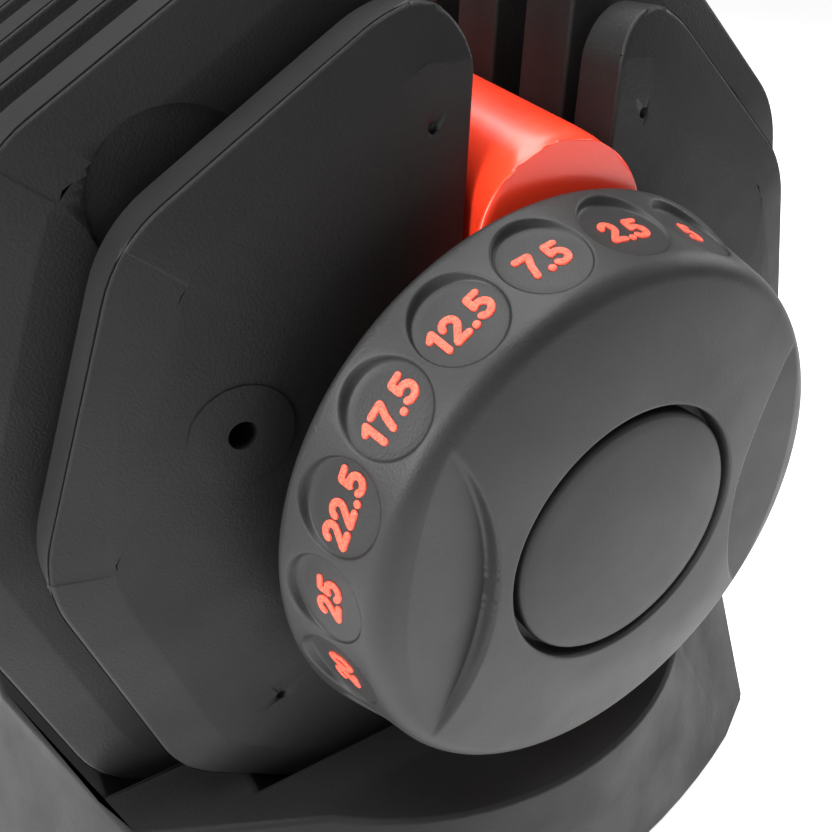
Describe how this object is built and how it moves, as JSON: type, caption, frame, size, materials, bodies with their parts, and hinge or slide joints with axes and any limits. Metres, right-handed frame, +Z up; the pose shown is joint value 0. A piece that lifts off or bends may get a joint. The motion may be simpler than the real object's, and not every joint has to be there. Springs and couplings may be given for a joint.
{
  "type": "adjustable dumbbell",
  "caption": "Adjustable dumbbell in its tray: faceted weight plates at both ends of a rubber grip, a numbered dial with finger scoops on each end, and a red cover in the slots of the plates.",
  "frame": {"origin": "on the table, under the middle of the tray", "axes": "+X along the grip towards one dial, +Y across the grip, +Z up"},
  "size_m": [0.4242, 0.212, 0.2011],
  "materials": {
    "tray_plastic": "fine pebble grain",
    "dark_plastic": "satin",
    "foot_rubber": "matte",
    "steel_screw": "zinc plated",
    "steel": "turned",
    "steel_spring": "drawn wire",
    "grip_rubber": "ribbed, matte",
    "bush_plastic": "as moulded",
    "shroud_red": "gloss",
    "plate_steel": "black, cut plate",
    "plate_nylon": "pebbled, matte",
    "dial_plastic": "matte, with a worn edge",
    "cap_plastic": "satin",
    "numeral_red": "printed, semi-gloss",
    "disc_plastic": "as moulded"
  },
  "bodies": {
    "tray": {"tray_shell": "tray_plastic", "tray_base": "tray_plastic", "tray_release_posts": "dark_plastic", "tray_feet": "foot_rubber", "tray_screws": "steel_screw"},
    "small_plates": {"right_small_plate_core": "plate_steel", "right_small_plate_jacket": "plate_nylon", "left_small_plate_core": "plate_steel", "left_small_plate_jacket": "plate_nylon"},
    "large_plates_4": {"right_large_plate_4_core": "plate_steel", "right_large_plate_4_jacket": "plate_nylon", "left_large_plate_4_core": "plate_steel", "left_large_plate_4_jacket": "plate_nylon"},
    "large_plates_3": {"right_large_plate_3_core": "plate_steel", "right_large_plate_3_jacket": "plate_nylon", "left_large_plate_3_core": "plate_steel", "left_large_plate_3_jacket": "plate_nylon"},
    "large_plates_2": {"right_large_plate_2_core": "plate_steel", "right_large_plate_2_jacket": "plate_nylon", "left_large_plate_2_core": "plate_steel", "left_large_plate_2_jacket": "plate_nylon"},
    "large_plates_1": {"right_large_plate_1_core": "plate_steel", "right_large_plate_1_jacket": "plate_nylon", "left_large_plate_1_core": "plate_steel", "left_large_plate_1_jacket": "plate_nylon"},
    "handle": {"handle_tube": "steel", "grip_sleeve": "grip_rubber", "housing_screws": "steel_screw", "right_end_housing": "dark_plastic", "right_axle_bush": "bush_plastic", "right_shroud": "shroud_red", "right_plunger_spring": "steel_spring", "left_end_housing": "dark_plastic", "left_axle_bush": "bush_plastic", "left_shroud": "shroud_red", "left_plunger_spring": "steel_spring"},
    "right_lock": {"right_lock_plunger": "bush_plastic"},
    "right_dial": {"right_selector_axle": "steel", "right_lock_wheel": "steel", "right_dial_knob": "dial_plastic", "right_dial_cap": "cap_plastic", "right_dial_numerals": "numeral_red", "right_axle_screw": "steel_screw", "right_small_selector_disc": "disc_plastic", "right_large_4_selector_disc": "disc_plastic", "right_large_3_selector_disc": "disc_plastic", "right_large_2_selector_disc": "disc_plastic", "right_large_1_selector_disc": "disc_plastic"},
    "left_lock": {"left_lock_plunger": "bush_plastic"},
    "left_dial": {"left_selector_axle": "steel", "left_lock_wheel": "steel", "left_dial_knob": "dial_plastic", "left_dial_cap": "cap_plastic", "left_dial_numerals": "numeral_red", "left_axle_screw": "steel_screw", "left_small_selector_disc": "disc_plastic", "left_large_4_selector_disc": "disc_plastic", "left_large_3_selector_disc": "disc_plastic", "left_large_2_selector_disc": "disc_plastic", "left_large_1_selector_disc": "disc_plastic"}
  },
  "joints": [
    {"name": "small_plates_lift", "type": "slide", "parent": "tray", "child": "small_plates", "axis": [0, 0, 1], "range_m": [0, 0.12]},
    {"name": "large_plates_4_lift", "type": "slide", "parent": "small_plates", "child": "large_plates_4", "axis": [0, 0, 1], "range_m": [0, 0.12]},
    {"name": "large_plates_3_lift", "type": "slide", "parent": "large_plates_4", "child": "large_plates_3", "axis": [0, 0, 1], "range_m": [0, 0.12]},
    {"name": "large_plates_2_lift", "type": "slide", "parent": "large_plates_3", "child": "large_plates_2", "axis": [0, 0, 1], "range_m": [0, 0.12]},
    {"name": "large_plates_1_lift", "type": "slide", "parent": "large_plates_2", "child": "large_plates_1", "axis": [0, 0, 1], "range_m": [0, 0.12]},
    {"name": "handle_lift", "type": "slide", "parent": "large_plates_1", "child": "handle", "axis": [0, 0, 1], "range_m": [0, 0.12]},
    {"name": "right_dial_turn", "type": "hinge", "parent": "handle", "child": "right_dial", "pos_m": [0.1, 0, 0.106], "axis": [1, 0, 0], "continuous": true},
    {"name": "right_lock_slide", "type": "slide", "parent": "handle", "child": "right_lock", "axis": [0, 0, 1], "range_m": [-0.003, 0], "deforming": ["right_plunger_spring"]},
    {"name": "left_dial_turn", "type": "hinge", "parent": "handle", "child": "left_dial", "pos_m": [-0.1, 0, 0.106], "axis": [-1, 0, 0], "continuous": true},
    {"name": "left_lock_slide", "type": "slide", "parent": "handle", "child": "left_lock", "axis": [0, 0, 1], "range_m": [-0.003, 0], "deforming": ["left_plunger_spring"]}
  ],
  "couplings": [
    {"joint": "right_lock_slide", "follows": "handle_lift", "ratio": -0.025},
    {"joint": "left_lock_slide", "follows": "handle_lift", "ratio": -0.025}
  ]
}
